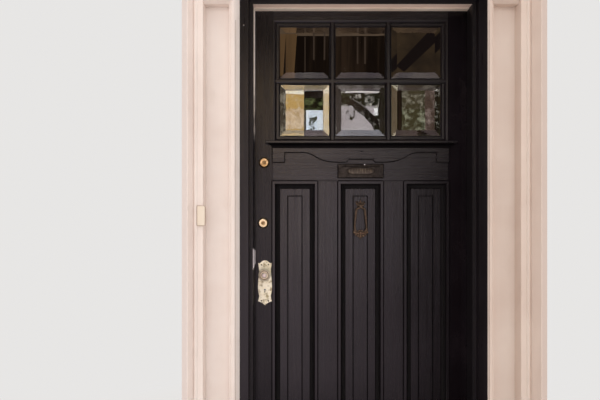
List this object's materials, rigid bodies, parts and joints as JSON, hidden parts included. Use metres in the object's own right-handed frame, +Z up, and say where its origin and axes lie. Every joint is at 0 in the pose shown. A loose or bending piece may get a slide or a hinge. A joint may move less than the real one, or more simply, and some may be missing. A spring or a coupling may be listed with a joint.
{
  "type": "panelled front door with frame",
  "caption": "Panelled front door with bevelled lights, a shelf, letter plate, knocker and locks, hung in its frame between moulded pilasters.",
  "frame": {"origin": "middle of the underside of the sill, in line with the outer face of the closed door", "axes": "+X to the right seen from outside, +Y into the house, +Z up"},
  "size_m": [1.36, 0.244, 2.34],
  "materials": {
    "white_paint": "warm white gloss paint on timber",
    "frame_paint": "black semi-gloss paint on timber",
    "draught_strip": "cream painted draught strip",
    "sill_paint": "worn dark grey paint on timber",
    "threshold_metal": "scuffed",
    "door_paint": "black semi-gloss paint, brushed along the grain",
    "glass": "clear bevelled glass",
    "letter_metal": "dark painted brass",
    "knocker_bronze": "antique bronze, worn copper on the high spots",
    "cylinder_brass": "worn brass",
    "furniture_brass": "tarnished pale brass",
    "lock_steel": "dull steel",
    "bolt_brass": "worn brass"
  },
  "bodies": {
    "frame": {"sill": "sill_paint", "threshold_strip": "threshold_metal", "jamb_left": "frame_paint", "jamb_right": "frame_paint", "head_frame": "frame_paint", "door_stops": "frame_paint", "draught_strip": "draught_strip", "pilaster_left": "white_paint", "pilaster_right": "white_paint", "backband_left": "white_paint", "backband_right": "white_paint", "backband_top": "white_paint", "frieze_board": "white_paint", "bell_push": "white_paint", "strike_boxes": "lock_steel", "hinge_frame_leaves": "lock_steel", "hinge_pins": "lock_steel"},
    "door": {"hinge_stile": "door_paint", "lock_stile": "door_paint", "top_rail": "door_paint", "lock_rail": "door_paint", "bottom_rail": "door_paint", "mullion_left": "door_paint", "mullion_right": "door_paint", "panel_left": "door_paint", "panel_centre": "door_paint", "panel_right": "door_paint", "panel_moulding_left": "door_paint", "panel_moulding_centre": "door_paint", "panel_moulding_right": "door_paint", "inner_mouldings": "door_paint", "glazing_moulding": "door_paint", "glazing_bars": "door_paint", "glass_panes": "glass", "glazing_beads": "door_paint", "shelf": "door_paint", "bed_moulding": "door_paint", "apron": "door_paint", "letter_plate": "letter_metal", "knocker_plate": "knocker_bronze", "knocker_stud": "knocker_bronze", "key_cylinders": "cylinder_brass", "turn_roses": "furniture_brass", "lock_case": "lock_steel", "escutcheon": "furniture_brass", "inner_escutcheon": "furniture_brass", "hinge_door_leaves": "lock_steel"},
    "knob_set": {"outer_knob": "furniture_brass", "inner_knob": "furniture_brass", "spindle": "lock_steel"},
    "latch": {"latch_bolt": "bolt_brass"},
    "lower_bolt": {"mortise_bolt": "bolt_brass"},
    "upper_turn": {"plug_upper": "cylinder_brass", "thumb_turn_upper": "furniture_brass"},
    "upper_bolt": {"bolt_upper": "bolt_brass"},
    "middle_turn": {"plug_lower": "cylinder_brass", "thumb_turn_lower": "furniture_brass"},
    "middle_bolt": {"bolt_lower": "bolt_brass"},
    "letter_flap": {"letter_flap": "letter_metal"},
    "knocker": {"knocker_ring": "knocker_bronze"}
  },
  "joints": [
    {"name": "door_swing", "type": "hinge", "parent": "frame", "child": "door", "pos_m": [0.4335, 0.0505, 0.06], "axis": [0, 0, -1], "range_deg": [0, 110]},
    {"name": "knob_turn", "type": "hinge", "parent": "door", "child": "knob_set", "pos_m": [-0.379, 0, 1.0334], "axis": [0, 1, 0], "range_deg": [0, 60]},
    {"name": "latch_slide", "type": "slide", "parent": "door", "child": "latch", "axis": [-1, 0, 0], "range_m": [0, 0.012]},
    {"name": "mortise_bolt_slide", "type": "slide", "parent": "door", "child": "lower_bolt", "axis": [-1, 0, 0], "range_m": [0, 0.016]},
    {"name": "upper_key_turn", "type": "hinge", "parent": "door", "child": "upper_turn", "pos_m": [-0.382, 0, 1.4736], "axis": [0, 1, 0], "range_deg": [0, 90]},
    {"name": "upper_bolt_slide", "type": "slide", "parent": "door", "child": "upper_bolt", "axis": [-1, 0, 0], "range_m": [0, 0.025]},
    {"name": "middle_key_turn", "type": "hinge", "parent": "door", "child": "middle_turn", "pos_m": [-0.386, 0, 1.2347], "axis": [0, 1, 0], "range_deg": [0, 90]},
    {"name": "middle_bolt_slide", "type": "slide", "parent": "door", "child": "middle_bolt", "axis": [-1, 0, 0], "range_m": [0, 0.025]},
    {"name": "letter_flap_swing", "type": "hinge", "parent": "door", "child": "letter_flap", "pos_m": [0, -0.0025, 1.4579], "axis": [1, 0, 0], "range_deg": [0, 75], "stiffness_Nm_per_rad": 0.02},
    {"name": "knocker_swing", "type": "hinge", "parent": "door", "child": "knocker", "pos_m": [0, 0.003, 1.305], "axis": [-1, 0, 0], "range_deg": [0, 80]}
  ],
  "couplings": [
    {"joint": "latch_slide", "follows": "knob_turn", "m_per_rad": 0.011459},
    {"joint": "upper_bolt_slide", "follows": "upper_key_turn", "m_per_rad": 0.015915},
    {"joint": "middle_bolt_slide", "follows": "middle_key_turn", "m_per_rad": 0.015915}
  ]
}
